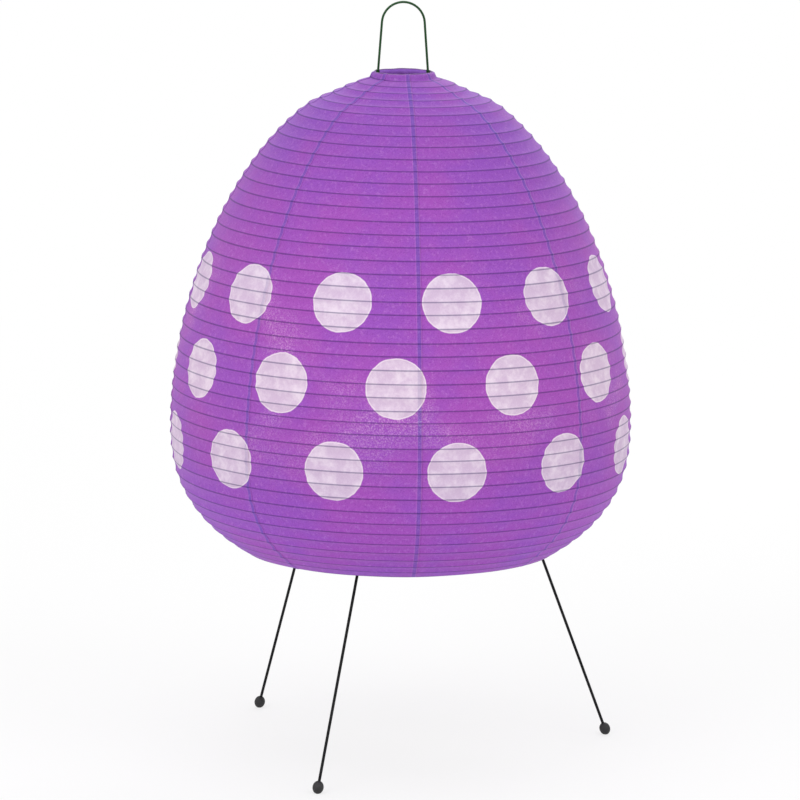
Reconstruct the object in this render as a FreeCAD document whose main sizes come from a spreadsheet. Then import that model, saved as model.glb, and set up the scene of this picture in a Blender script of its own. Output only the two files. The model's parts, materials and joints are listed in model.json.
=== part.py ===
"""Paper lamp: a ribbed paper shade held open by a wire stretcher, on three wire legs.

Frame: millimetres, +Z up, origin on the floor under the middle of the shade.
"""
import FreeCAD, Part
import math
import os
import Sketcher

from FreeCAD import Placement, Rotation, Vector

doc = FreeCAD.newDocument("PaperLamp")

# Driving dimensions, in millimetres and degrees
SIZES = {
    # Outline of the shade
    "shade_radius": 240,
    "top_rim_radius": 29.7,
    "bottom_rim_radius": 163,
    "crown_height": 363,
    "under_depth": 134,
    "crown_power": 1.8,
    "under_power": 2.5,
    "rim_height": 214,
    # Paper gores
    "gore_count": 8,
    "gore_gap": 0.4,
    "seam_azimuth": 94.8,
    "paper_thickness": 0.4,
    "paper_sag": 1.7,
    # Spiral rib and hoops
    "rib_side": 1.2,
    "rib_pitch": 13.8,
    "rib_gap": 0.35,
    "rib_margin": 4.7,
    "top_hoop_wire": 2.5,
    "bottom_hoop_wire": 3,
    "hoop_gap": 0.3,
    # Stretcher
    "stretcher_wire": 2.4,
    "stretcher_spread": 60,
    "stretcher_bend": 40,
    "loop_radius": 22,
    "handle_rise": 73,
    "bar_width": 9,
    "bar_thickness": 1.6,
    "bar_overhang": 0.8,
    "ferrule_radius": 2.8,
    "ferrule_height": 6,
    "cup_wall": 1.4,
    "cup_height": 12,
    "cup_neck": 8,
    # Base frame
    "hub_radius": 68,
    "hub_thickness": 2,
    "vent_radius": 9,
    "vent_circle_radius": 36,
    "vent_count": 6,
    "arm_width": 13,
    "arm_thickness": 2,
    "arm_inner": 48,
    "rivet_radius": 1.6,
    "rivet_head_radius": 3,
    "rivet_head_height": 1.2,
    "rivet_inset": 6,
    "rivet_spacing": 8,
    # Legs
    "leg_wire": 3,
    "foot_circle_radius": 226,
    "socket_circle_radius": 146.1,
    "foot_azimuth_1": 13.9,
    "foot_azimuth_2": 131.9,
    "foot_azimuth_3": 249.0,
    "socket_azimuth": 13.2,
    "socket_rise": 2,
    "socket_length": 38,
    "socket_wall": 1.3,
    "socket_cap": 2,
    "foot_radius": 5.7,
    "foot_length": 13.6,
    "foot_flat": 0.5,
    "rod_in_foot": 2,
    # Stem and lampholder
    "stem_radius": 5,
    "stem_wall": 1,
    "stem_length": 118,
    "stem_drop": 6,
    "nut_flats": 14,
    "nut_thickness": 3,
    "bush_flange_radius": 7,
    "bush_flange": 2,
    "bush_length": 9,
    "bush_bore_radius": 2.6,
    "cap_radius": 19,
    "cap_wall": 2,
    "cap_floor": 3,
    "cap_ledge": 2,
    "cap_below_core": 9,
    "cap_height": 14,
    "shell_height": 42,
    "shell_lip": 2,
    "core_height": 14,
    "screw_shell_wall": 0.6,
    "screw_shell_height": 24,
    "contact_radius": 4,
    "contact_thickness": 0.8,
    "terminal_radius": 1.5,
    "terminal_head_radius": 2.7,
    "terminal_head_height": 1.6,
    "terminal_depth": 6,
    "terminal_circle_radius": 11,
    # Bulb
    "bulb_radius": 30,
    "bulb_length": 105,
    "bulb_wall": 1,
    "bulb_cap_radius": 13,
    "bulb_cap_wall": 0.6,
    "bulb_cap_height": 21,
    "bulb_neck_depth": 8,
    "thread_pitch": 3.629,
    "thread_depth": 0.5,
    "thread_turns": 4,
    "insulator_height": 4.4,
    "insulator_radius": 10.5,
    "tip_radius": 4.5,
    "tip_height": 1.5,
    "tip_gap": 0.3,
    # Fits
    "fit_gap": 0.15,
    "seat_gap": 0.3,
    "cut_overrun": 1,
}
PATH_SAMPLES = 1200
GORE_STEPS = 4
RIB_STEPS = 4
FADE_TURNS = 2
LEG_COUNT = 3
FULL_TURN = 360.0
# Where the bulb's flank passes between its neck and its globe, across and up
WAIST_SHARES = (0.3, 0.55)
UP = Vector(0, 0, 1)

sheet = doc.addObject("Spreadsheet::Sheet", "Sizes")
for row, (alias, value) in enumerate(SIZES.items(), 1):
    sheet.set("A%d" % row, alias)
    sheet.set("B%d" % row, str(value))
    sheet.setAlias("B%d" % row, alias)
doc.recompute()
size = {alias: float(sheet.get(alias)) for alias in SIZES}
subparts = []


def keep(item, name):
    """Name a finished sub-part; its label is its file name."""
    item.Label = name
    subparts.append(item)
    return item


def bind(item, **links):
    """Tie the properties of an object to cells of the sheet."""
    for name, cells in links.items():
        item.setExpression(name, cells)
    return item


def cell(text):
    """Write a formula on sheet aliases as an expression: every word becomes a cell."""
    words = [word if word[0] in "0123456789(+-*/" else "Sizes." + word for word in text.split()]
    return " ".join(words)


def cylinder(radius, height, base, direction=UP):
    """Make a cylinder with bound radius and height, standing on a point along a direction."""
    item = doc.addObject("Part::Cylinder", "Cylinder")
    bind(item, Radius=cell(radius), Height=cell(height))
    item.Placement = Placement(base, Rotation(UP, direction))
    return item


def cone(radius_low, radius_high, height, base, direction=UP):
    """Make a cone with bound radii and height."""
    item = doc.addObject("Part::Cone", "Cone")
    bind(item, Radius1=cell(radius_low), Radius2=cell(radius_high), Height=cell(height))
    item.Placement = Placement(base, Rotation(UP, direction))
    return item


def box(length, width, height, corner):
    """Make a box with bound sides."""
    item = doc.addObject("Part::Box", "Box")
    bind(item, Length=cell(length), Width=cell(width), Height=cell(height))
    item.Placement = Placement(corner, Rotation())
    return item


def torus(ring_radius, wire_radius, height):
    """Make a wire hoop about Z; the ring radius is worked out, the wire is bound."""
    item = doc.addObject("Part::Torus", "Torus")
    item.Radius1 = ring_radius
    bind(item, Radius2=cell(wire_radius))
    item.Placement = Placement(Vector(0, 0, height), Rotation())
    return item


def cut(base, *tools):
    """Take one or more tools away from a base."""
    for tool in tools:
        step = doc.addObject("Part::Cut", "Cut")
        step.Base = base
        step.Tool = tool
        base = step
    return base


def fuse(base, *others):
    """Join solids into one."""
    for other in others:
        step = doc.addObject("Part::Fuse", "Fuse")
        step.Base = base
        step.Tool = other
        base = step
    return base


def group(items):
    """Gather separate solids of one kind."""
    item = doc.addObject("Part::Compound", "Group")
    item.Links = items
    return item


def tube(outer, inner, height, base, direction=UP):
    """Make a tube: a cylinder less a longer inner cylinder."""
    over = direction * size["cut_overrun"]
    bore = cylinder(inner, height + " + cut_overrun + cut_overrun", base - over, direction)
    return cut(cylinder(outer, height, base, direction), bore)


def sketch_on(body, role, name):
    """Start a sketch on one of a body's own origin planes."""
    sketch = body.newObject("Sketcher::SketchObject", name)
    plane = [feature for feature in body.Origin.OriginFeatures if feature.Role == role][0]
    sketch.AttachmentSupport = (plane, "")
    sketch.MapMode = "FlatFace"
    return sketch


def revolved(name, outline):
    """Turn a closed outline of (radius, height) points about Z; three-point entries are arcs."""
    body = doc.addObject("PartDesign::Body", name)
    sketch = sketch_on(body, "XZ_Plane", name + "Outline")
    points = outline + outline[:1]
    index = 0
    while index < len(points) - 1:
        start = Vector(*points[index][:2], 0)
        through = points[index + 1]
        if len(through) == 3:
            end = Vector(*points[index + 2][:2], 0)
            sketch.addGeometry(Part.Arc(start, Vector(*through[:2], 0), end), False)
            index += 2
        else:
            sketch.addGeometry(Part.LineSegment(start, Vector(*through, 0)), False)
            index += 1
    turn = body.newObject("PartDesign::Revolution", name + "Turn")
    turn.Profile = sketch
    turn.ReferenceAxis = (sketch, ["V_Axis"])
    turn.Angle = FULL_TURN
    sketch.Visibility = False
    return body


# Outline of the shade: two half super-ellipses that meet at the belly
def shade_outline(height):
    """Radius of the paper's outside at a height above the bottom rim."""
    rise = height - size["under_depth"]
    above = rise >= 0
    power = size["crown_power"] if above else size["under_power"]
    reach = size["crown_height"] if above else size["under_depth"]
    rim = size["top_rim_radius"] if above else size["bottom_rim_radius"]
    pole = reach / (1 - (rim / size["shade_radius"]) ** 2) ** (1 / power)
    return size["shade_radius"] * math.sqrt(1 - (abs(rise) / pole) ** power)


shade_height = size["crown_height"] + size["under_depth"]
heights = [shade_height * step / PATH_SAMPLES for step in range(PATH_SAMPLES + 1)]
meridian = [(shade_outline(height), size["rim_height"] + height) for height in heights]
lengths = [0.0]
for (radius_a, height_a), (radius_b, height_b) in zip(meridian, meridian[1:]):
    lengths.append(lengths[-1] + math.hypot(radius_b - radius_a, height_b - height_a))
arc_length = lengths[-1]


def on_meridian(arc, depth=0.0):
    """Point (radius, height) at an arc length from the bottom rim, a depth inside the paper's face."""
    low, high = 0, PATH_SAMPLES
    while high - low > 1:
        middle = (low + high) // 2
        low, high = (middle, high) if lengths[middle] <= arc else (low, middle)
    span = lengths[high] - lengths[low]
    share = (arc - lengths[low]) / span
    step_r = meridian[high][0] - meridian[low][0]
    step_z = meridian[high][1] - meridian[low][1]
    radius = meridian[low][0] + share * step_r - depth * step_z / span
    height = meridian[low][1] + share * step_z + depth * step_r / span
    return radius, height


def around(radius, height, azimuth, shift=0.0):
    """Turn a meridian point to an azimuth, moved sideways by a shift."""
    angle = math.radians(azimuth)
    across = Vector(-math.sin(angle), math.cos(angle), 0)
    return Vector(radius * math.cos(angle), radius * math.sin(angle), height) + across * shift


# Spiral rib: it climbs clockwise, one pitch of arc length a turn
rib_turns = int((arc_length - 2 * size["rib_margin"]) / size["rib_pitch"])
flank = 2 * math.atan(2 * size["paper_sag"] / size["rib_pitch"])
rib_reach = size["rib_side"] / math.sqrt(2)
rib_depth = size["paper_thickness"] + (rib_reach + size["rib_gap"]) / math.cos(flank)


def rib_point(turn):
    """Centre of the rib after a number of turns from its lower end."""
    arc = size["rib_margin"] + size["rib_pitch"] * turn
    radius, height = on_meridian(arc, rib_depth)
    return around(radius, height, size["seam_azimuth"] - FULL_TURN * turn)


def rib_tangent(turn):
    """Direction of the rib, from two points a small share of a turn apart."""
    reach_share = 0.002
    ahead = rib_point(min(turn + reach_share, rib_turns))
    behind = rib_point(max(turn - reach_share, 0))
    return (ahead - behind).normalize()


def arc_edge(start, corner, end):
    """Arc from start to end whose end tangents meet at a corner."""
    middle = (start + end) * 0.5
    half = (end - start).Length / 2
    lean = math.acos(half / (corner - start).Length)
    crown = middle + (corner - middle).normalize() * half * math.tan(lean / 2)
    return Part.Arc(start, crown, end).toShape()


def biarc(start, end, tangent_a, tangent_b):
    """Two arcs that run from start to end along the given tangents."""
    chord = end - start
    both = tangent_a + tangent_b
    bend = 2 * (1 - tangent_a.dot(tangent_b))
    along = chord.dot(both)
    reach = (math.sqrt(along ** 2 + bend * chord.dot(chord)) - along) / bend
    corner_a = start + tangent_a * reach
    corner_b = end - tangent_b * reach
    join = (corner_a + corner_b) * 0.5
    return [arc_edge(start, corner_a, join), arc_edge(join, corner_b, end)]


def make_spiral_rib():
    """One unbroken splint from the bottom hoop to the top hoop."""
    stations = [step / RIB_STEPS for step in range(rib_turns * RIB_STEPS + 1)]
    edges = []
    for turn_a, turn_b in zip(stations, stations[1:]):
        edges += biarc(rib_point(turn_a), rib_point(turn_b), rib_tangent(turn_a), rib_tangent(turn_b))
    path = Part.Wire(edges)
    side = rib_tangent(0).cross(UP).normalize() * (size["rib_side"] / 2)
    rise = side.cross(rib_tangent(0))
    corners = [rib_point(0) + step for step in (side + rise, side - rise, -side - rise, rise - side)]
    section = Part.Wire([Part.makeLine(*ends) for ends in zip(corners, corners[1:] + corners[:1])])
    item = doc.addObject("Part::Feature", "SpiralRib")
    item.Shape = path.makePipeShell([section], True, False)
    points = [rib_point(turn) for turn in stations]
    near = [(a - b).Length for a, b in zip(points, points[RIB_STEPS:])]
    print("rib turns", rib_turns, "length", round(path.Length), "volume share",
          round(item.Shape.Volume / (path.Length * size["rib_side"] ** 2), 4),
          "least gap to itself", round(min(near) - 2 * rib_reach, 2))
    keep(item, "spiral_rib")


def gore_section(turn, shift):
    """Closed outline of the paper at one azimuth: an arc drawn in between each pair of ribs."""
    azimuth = size["seam_azimuth"] + FULL_TURN * turn
    ridges = [size["rib_margin"] + size["rib_pitch"] * (k - turn) for k in range(1, rib_turns + 1)]
    stations = [0.0] + ridges + [arc_length]
    last = len(stations) - 2
    skins = []
    for depth in (0.0, size["paper_thickness"]):
        edges = []
        for index, (low, high) in enumerate(zip(stations, stations[1:])):
            middle = (low + high) / 2
            fade = min(middle, arc_length - middle) / (FADE_TURNS * size["rib_pitch"])
            sag = 0.0 if index in (0, last) else size["paper_sag"] * min(1.0, fade)
            knots = [(low, depth), (middle, depth + sag), (high, depth)]
            points = [around(*on_meridian(*knot), azimuth, shift) for knot in knots]
            edges.append(Part.Arc(*points).toShape())
        skins.append(edges)
    outer, inner = skins
    top = Part.LineSegment(outer[-1].lastVertex().Point, inner[-1].lastVertex().Point).toShape()
    bottom = Part.LineSegment(inner[0].firstVertex().Point, outer[0].firstVertex().Point).toShape()
    return Part.Wire(outer + [top] + inner[::-1] + [bottom])


def make_gores():
    """Eight paper panels from rim to rim, each lofted round its share of the turn."""
    count = round(size["gore_count"])
    for gore in range(count):
        sections = []
        for step in range(GORE_STEPS + 1):
            side = {0: 1, GORE_STEPS: -1}.get(step, 0)
            turn = (gore + step / GORE_STEPS) / count
            sections.append(gore_section(turn, side * size["gore_gap"] / 2))
        item = doc.addObject("Part::Feature", "Gore")
        item.Shape = Part.makeLoft(sections, True, False)
        keep(item, "paper_gore_%d" % (gore + 1))


# Hoops, each just inside the paper's end
def hoop_axis(wire, arc):
    """Radius and height of a hoop's middle line."""
    return on_meridian(arc, size["paper_thickness"] + size["hoop_gap"] + wire / 2)


bottom_hoop_radius, bottom_hoop_height = hoop_axis(size["bottom_hoop_wire"], size["bottom_hoop_wire"] / 2)
top_hoop_radius, top_hoop_height = hoop_axis(size["top_hoop_wire"], arc_length - size["top_hoop_wire"] / 2)


def make_hoops():
    """Wire hoops in the two mouths of the shade."""
    keep(torus(top_hoop_radius, "top_hoop_wire / 2", top_hoop_height), "top_hoop")
    keep(torus(bottom_hoop_radius, "bottom_hoop_wire / 2", bottom_hoop_height), "bottom_hoop")


# Levels of the base frame
arm_low = bottom_hoop_height + size["bottom_hoop_wire"] / 2 + size["seat_gap"]
hub_low = arm_low + size["arm_thickness"]
hub_top = hub_low + size["hub_thickness"]
stem_low = hub_low - size["stem_drop"]
cap_low = stem_low + size["stem_length"] - size["cap_below_core"] + size["seat_gap"]
core_low = cap_low + size["cap_below_core"]
core_top = core_low + size["core_height"]
top_rim = size["rim_height"] + shade_height

# Middle line of the stretcher, in the XZ plane
knee = Vector(size["stretcher_spread"], 0, hub_top + size["cup_height"] + size["cup_neck"])
loop_centre = Vector(0, 0, top_rim + size["handle_rise"] - size["loop_radius"] - size["stretcher_wire"] / 2)
reach_down = knee - loop_centre
loop_angle = math.atan2(reach_down.z, reach_down.x) + math.acos(size["loop_radius"] / reach_down.Length)
shoulder = loop_centre + Vector(math.cos(loop_angle), 0, math.sin(loop_angle)) * size["loop_radius"]
upright = (shoulder - knee).normalize()


def mirrored(point):
    """The same point on the other side of the YZ plane."""
    return Vector(-point.x, point.y, point.z)


def make_stretcher():
    """Bent wire: two uprights in their cups, leaning in to the carrying loop above the shade."""
    foot = Vector(knee.x, 0, hub_top)
    trim = size["stretcher_bend"] * math.tan(math.acos(upright.dot(UP)) / 2)
    bend_in = knee - UP * trim
    bend_out = knee + upright * trim
    crown = loop_centre + UP * size["loop_radius"]
    edges = [
        Part.LineSegment(foot, bend_in).toShape(),
        arc_edge(bend_in, knee, bend_out),
        Part.LineSegment(bend_out, shoulder).toShape(),
        Part.Arc(shoulder, crown, mirrored(shoulder)).toShape(),
        Part.LineSegment(mirrored(shoulder), mirrored(bend_out)).toShape(),
        arc_edge(mirrored(bend_out), mirrored(knee), mirrored(bend_in)),
        Part.LineSegment(mirrored(bend_in), mirrored(foot)).toShape(),
    ]
    path = doc.addObject("Part::Feature", "StretcherPath")
    path.Shape = Part.Wire(edges)
    section = bind(doc.addObject("Part::Circle", "StretcherSection"), Radius=cell("stretcher_wire / 2"))
    section.Placement = Placement(foot, Rotation())
    sweep = doc.addObject("Part::Sweep", "Stretcher")
    sweep.Sections = [section]
    sweep.Spine = (path, ["Edge%d" % number for number in range(1, len(edges) + 1)])
    sweep.Solid = True
    keep(sweep, "stretcher_wire")


def make_stretcher_fittings():
    """Spreader bar under the top hoop, ferrules under the bar, and cups on the hub plate."""
    bar_top = top_hoop_height - size["top_hoop_wire"] / 2 - size["seat_gap"]
    bar_low = bar_top - size["bar_thickness"]
    bar_half = top_hoop_radius + size["top_hoop_wire"] / 2 + size["bar_overhang"]
    # The bar's ends stop short of the sloping paper
    bar = doc.addObject("Part::Box", "Bar")
    bar.Length = 2 * bar_half
    bind(bar, Width=cell("bar_width"), Height=cell("bar_thickness"))
    bar.Placement = Placement(Vector(-bar_half, -size["bar_width"] / 2, bar_low), Rotation())
    holes = []
    ferrules = []
    for side in (1, -1):
        lean = upright if side == 1 else mirrored(upright)
        base = knee if side == 1 else mirrored(knee)
        drop = size["ferrule_radius"] * math.tan(math.acos(upright.dot(UP)))
        run = (bar_low - size["seat_gap"] - drop - base.z) / lean.z
        under = base + lean * (run - size["ferrule_height"])
        bore = "stretcher_wire / 2 + fit_gap"
        ferrules.append(tube("ferrule_radius", bore, "ferrule_height", under, lean))
        through = "bar_thickness + bar_thickness + ferrule_height"
        holes.append(cylinder(bore, through, base + lean * (run - size["bar_thickness"]), lean))
        cup_base = Vector(side * size["stretcher_spread"], 0, hub_top)
        number = 1 if side == 1 else 2
        keep(tube(bore + " + cup_wall", bore, "cup_height", cup_base), "stretcher_cup_%d" % number)
    keep(cut(bar, *holes), "top_bar")
    keep(group(ferrules), "stretcher_ferrules")


# Leg lines: from the middle of each ball foot to the mouth of its socket
def leg_line(number):
    """Middle of the foot, socket mouth and direction of one leg."""
    mouth_height = size["rim_height"] + size["socket_rise"]
    lean = math.atan2(size["foot_circle_radius"] - size["socket_circle_radius"], mouth_height)
    drop = math.hypot(size["foot_length"] / 2 * math.cos(lean), size["foot_radius"] * math.sin(lean))
    height = drop - size["foot_flat"]
    foot = around(size["foot_circle_radius"], height, size["foot_azimuth_%d" % number])
    mouth = around(size["socket_circle_radius"], mouth_height, socket_azimuth(number))
    return foot, mouth, (mouth - foot).normalize()


def socket_azimuth(number):
    """The sockets stand at even thirds of a turn."""
    return size["socket_azimuth"] + (number - 1) * FULL_TURN / LEG_COUNT


def make_leg(number):
    """Straight wire leg with its egg-shaped foot, and the socket that it plugs into."""
    foot, mouth, along = leg_line(number)
    over = size["cut_overrun"]
    bore = "leg_wire / 2 + fit_gap"
    rod = doc.addObject("Part::Cylinder", "Rod")
    bind(rod, Radius=cell("leg_wire / 2"))
    plugged = size["socket_length"] - size["socket_cap"] - size["seat_gap"]
    rod.Height = size["rod_in_foot"] + (mouth - foot).Length + plugged
    rod.Placement = Placement(foot - along * size["rod_in_foot"], Rotation(UP, along))
    keep(rod, "leg_rod_%d" % number)

    egg = doc.addObject("Part::Ellipsoid", "Egg")
    bind(egg, Radius1=cell("foot_length / 2"), Radius2=cell("foot_radius"), Radius3=cell("foot_radius"))
    egg.Placement = Placement(foot, Rotation(UP, along))
    hole = cylinder(bore, "foot_length", foot - along * size["rod_in_foot"], along)
    corner = Vector(foot.x - size["foot_length"] / 2, foot.y - size["foot_length"] / 2, -size["foot_length"])
    floor = box("foot_length", "foot_length", "foot_length", corner)
    keep(cut(egg, hole, floor), "ball_foot_%d" % number)

    sleeve = cylinder(bore + " + socket_wall", "socket_length", mouth, along)
    inside = cylinder(bore, "socket_length - socket_cap + cut_overrun", mouth - along * over, along)
    keep(cut(sleeve, inside), "leg_socket_%d" % number)


def make_arm(number):
    """Flat arm from the hub plate to the bottom hoop, with holes for its rivets and its socket."""
    azimuth = socket_azimuth(number)
    strip = doc.addObject("Part::Box", "Strip")
    strip.Length = bottom_hoop_radius - size["arm_inner"]
    bind(strip, Width=cell("arm_width"), Height=cell("arm_thickness"))
    turn = Rotation(UP, azimuth)
    corner = Vector(size["arm_inner"], -size["arm_width"] / 2, arm_low)
    strip.Placement = Placement(turn.multVec(corner), turn)
    mouth, along = leg_line(number)[1:]
    over = size["cut_overrun"]
    start = mouth - along * over
    hole = cylinder("leg_wire / 2 + socket_wall + fit_gap * 2", "socket_length", start, along)
    drills = [cylinder("rivet_radius + fit_gap", "arm_thickness + cut_overrun * 2", spot - UP * over)
              for spot in rivet_spots(number, arm_low)]
    keep(cut(strip, hole, *drills), "frame_arm_%d" % number)


def rivet_spots(number, height):
    """Centres of one arm's two rivets at a height."""
    first = size["arm_inner"] + size["rivet_inset"]
    radii = (first, first + size["rivet_spacing"])
    return [around(radius, height, socket_azimuth(number)) for radius in radii]


def make_rivets():
    """Two rivets through the hub plate and each arm."""
    rivets = []
    for number in range(1, LEG_COUNT + 1):
        for spot in rivet_spots(number, arm_low):
            shank = cylinder("rivet_radius", "arm_thickness + hub_thickness", spot)
            under = spot - UP * size["rivet_head_height"]
            lower = cylinder("rivet_head_radius", "rivet_head_height", under)
            upper = cylinder("rivet_head_radius", "rivet_head_height", Vector(spot.x, spot.y, hub_top))
            rivets.append(fuse(shank, lower, upper))
    keep(group(rivets), "arm_rivets")


def make_hub():
    """Round plate with a stem hole, rivet holes and a ring of vent holes."""
    body = doc.addObject("PartDesign::Body", "Hub")
    disc = sketch_on(body, "XY_Plane", "HubDisc")
    disc.addGeometry(Part.Circle(Vector(), UP, size["hub_radius"]), False)
    rim = disc.addConstraint(Sketcher.Constraint("Radius", 0, size["hub_radius"]))
    disc.setExpression("Constraints[%d]" % rim, cell("hub_radius"))
    disc.addGeometry(Part.Circle(Vector(), UP, size["stem_radius"] + size["fit_gap"]), False)
    eye = disc.addConstraint(Sketcher.Constraint("Radius", 1, size["stem_radius"] + size["fit_gap"]))
    disc.setExpression("Constraints[%d]" % eye, cell("stem_radius + fit_gap"))
    for number in range(1, LEG_COUNT + 1):
        for spot in rivet_spots(number, 0.0):
            disc.addGeometry(Part.Circle(spot, UP, size["rivet_radius"] + size["fit_gap"]), False)
    plate = body.newObject("PartDesign::Pad", "HubPlate")
    plate.Profile = disc
    bind(plate, Length=cell("hub_thickness"))
    doc.recompute()
    before = plate.Shape.Volume

    vent = sketch_on(body, "XY_Plane", "HubVent")
    spot = around(size["vent_circle_radius"], 0.0, size["socket_azimuth"])
    vent.addGeometry(Part.Circle(spot, UP, size["vent_radius"]), False)
    width = vent.addConstraint(Sketcher.Constraint("Radius", 0, size["vent_radius"]))
    vent.setExpression("Constraints[%d]" % width, cell("vent_radius"))
    hole = body.newObject("PartDesign::Pocket", "HubHole")
    hole.Profile = vent
    hole.Type = 1
    hole.Reversed = True
    ring = body.newObject("PartDesign::PolarPattern", "HubHoles")
    ring.Originals = [hole]
    ring.Axis = (vent, ["N_Axis"])
    ring.Angle = FULL_TURN
    bind(ring, Occurrences=cell("vent_count"))
    body.Tip = ring
    doc.recompute()
    cut_share = (before - body.Shape.Volume) / (math.pi * size["vent_radius"] ** 2 * size["hub_thickness"])
    print("hub vents cut", round(cut_share, 3))
    body.Placement = Placement(Vector(0, 0, hub_low), Rotation())
    keep(body, "hub_plate")


def make_stem():
    """Threaded tube through the hub plate, its lock nuts, and the bush that lines its lower end."""
    base = Vector(0, 0, stem_low)
    keep(tube("stem_radius", "stem_radius - stem_wall", "stem_length", base), "stem_tube")
    levels = [hub_low - size["nut_thickness"], hub_top, cap_low + size["cap_floor"]]
    nuts = []
    for level in levels:
        block = doc.addObject("Part::Prism", "NutBlock")
        block.Polygon = 6
        block.Circumradius = size["nut_flats"] / math.sqrt(3)
        bind(block, Height=cell("nut_thickness"))
        block.Placement = Placement(Vector(0, 0, level), Rotation())
        over = Vector(0, 0, level - size["cut_overrun"])
        nuts.append(cut(block, cylinder("stem_radius + fit_gap", "nut_thickness + cut_overrun * 2", over)))
    keep(group(nuts), "stem_nuts")

    flange = cylinder("bush_flange_radius", "bush_flange", base - UP * size["bush_flange"])
    liner = cylinder("stem_radius - stem_wall - fit_gap", "bush_length", base)
    over = base - UP * (size["bush_flange"] + size["cut_overrun"])
    bore = cylinder("bush_bore_radius", "bush_length + bush_flange + cut_overrun * 2", over)
    keep(cut(fuse(flange, liner), bore), "cord_bush")


def make_holder():
    """Lampholder: cap on the stem, core on the cap's ledge, shell, screw shell, contact and terminals."""
    outer = size["cap_radius"]
    inner = outer - size["cap_wall"]
    ledge = inner - size["cap_ledge"]
    eye = size["stem_radius"] + size["fit_gap"]
    floor = cap_low + size["cap_floor"]
    cap_top = cap_low + size["cap_height"]
    cap = [(eye, cap_low), (outer, cap_low), (outer, cap_top), (inner, cap_top), (inner, core_low),
           (ledge, core_low), (ledge, floor), (eye, floor)]
    keep(revolved("HolderCap", cap), "holder_cap")

    shell_top = cap_top + size["shell_height"]
    mouth = size["bulb_cap_radius"] + size["cap_ledge"]
    lip = shell_top - size["shell_lip"]
    shell = [(inner, cap_top), (outer, cap_top), (outer, shell_top), (mouth, shell_top),
             (mouth, lip), (inner, lip)]
    keep(revolved("HolderShell", shell), "holder_shell")

    base = Vector(0, 0, core_low)
    core = cylinder("cap_radius - cap_wall - seat_gap", "core_height", base)
    holes = []
    screws = []
    for side in (1, -1):
        spot = base + Vector(0, side * size["terminal_circle_radius"], 0)
        holes.append(cylinder("terminal_radius + fit_gap", "terminal_depth + seat_gap", spot))
        under = spot - UP * size["terminal_head_height"]
        head = cylinder("terminal_head_radius", "terminal_head_height", under)
        screws.append(fuse(cylinder("terminal_radius", "terminal_depth", spot), head))
    keep(cut(core, *holes), "holder_core")
    keep(group(screws), "terminal_screws")

    seat = Vector(0, 0, core_top)
    bore = "bulb_cap_radius + seat_gap"
    keep(tube(bore + " + screw_shell_wall", bore, "screw_shell_height", seat), "screw_shell")
    keep(cylinder("contact_radius", "contact_thickness", seat), "centre_contact")


def make_bulb():
    """Glass bulb with a threaded cap, an insulator ring and a contact tip."""
    tip_low = core_top + size["contact_thickness"] + size["tip_gap"]
    tip_top = tip_low + size["tip_height"]
    cap_base = tip_top + size["insulator_height"]
    cap_top = cap_base + size["bulb_cap_height"]
    keep(cylinder("tip_radius", "tip_height", Vector(0, 0, tip_low)), "bulb_tip")
    tip_radius = size["tip_radius"]
    cap_radius = size["bulb_cap_radius"]
    core = [(0, tip_top), (tip_radius, tip_top), (size["insulator_radius"], cap_base), (0, cap_base)]
    keep(revolved("BulbInsulator", core), "bulb_insulator")

    root = cap_radius - size["thread_depth"]
    bore = root - size["bulb_cap_wall"]
    start = cap_base + size["bulb_cap_wall"] * 2
    cap = [(0, cap_base), (root, cap_base), (root, start)]
    for thread in range(round(size["thread_turns"])):
        low = start + size["thread_pitch"] * thread
        cap += [(cap_radius, low + size["thread_pitch"] / 2, "arc"), (root, low + size["thread_pitch"])]
    cap += [(root, cap_top), (bore, cap_top), (bore, cap_base + size["bulb_cap_wall"]),
            (0, cap_base + size["bulb_cap_wall"])]
    keep(revolved("BulbCap", cap), "bulb_cap")

    neck = bore - size["fit_gap"]
    neck_low = cap_top - size["bulb_neck_depth"]
    crown = tip_low + size["bulb_length"]
    middle = crown - size["bulb_radius"]
    wall = size["bulb_wall"]
    spread = size["bulb_radius"]
    tilt = math.radians(FULL_TURN / 8)
    side = (spread * math.cos(tilt), middle - spread * math.sin(tilt))
    inside = (side[0] - wall * math.cos(tilt), side[1] + wall * math.sin(tilt))
    waist = (neck + (side[0] - neck) * WAIST_SHARES[0], cap_top + (side[1] - cap_top) * WAIST_SHARES[1])
    glass = [(neck - wall, neck_low), (neck, neck_low), (neck, cap_top), (*waist, "arc"), side,
             (spread, middle, "arc"), (0, crown), (0, crown - wall), (spread - wall, middle, "arc"), inside,
             (waist[0] - wall, waist[1], "arc"), (neck - wall, cap_top)]
    keep(revolved("BulbGlass", glass), "bulb_glass")


make_spiral_rib()
make_gores()
make_hoops()
make_stretcher()
make_stretcher_fittings()
for leg in range(1, LEG_COUNT + 1):
    make_leg(leg)
    make_arm(leg)
make_rivets()
make_hub()
make_stem()
make_holder()
make_bulb()
doc.recompute()

# Every object has to be sound before anything is written
for item in doc.Objects:
    if "Invalid" in item.State or "Error" in item.State:
        raise RuntimeError("failed object: " + item.Label)
for item in subparts:
    if item.Shape.isNull() or not item.Shape.isValid():
        raise RuntimeError("bad shape: " + item.Label)

os.makedirs("parts", exist_ok=True)
for item in subparts:
    item.Shape.exportStep(os.path.join("parts", item.Label + ".step"))
print("sub-parts", len(subparts))
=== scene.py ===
"""Looks of a ribbed paper lamp on three wire legs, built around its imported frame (metres, +Z up)."""
import json
import logging
import math
from dataclasses import dataclass, field
from enum import Enum
from typing import Dict, List, Optional, Sequence, Tuple, Union

import bmesh
import bpy
from mathutils import Matrix, Vector

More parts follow.
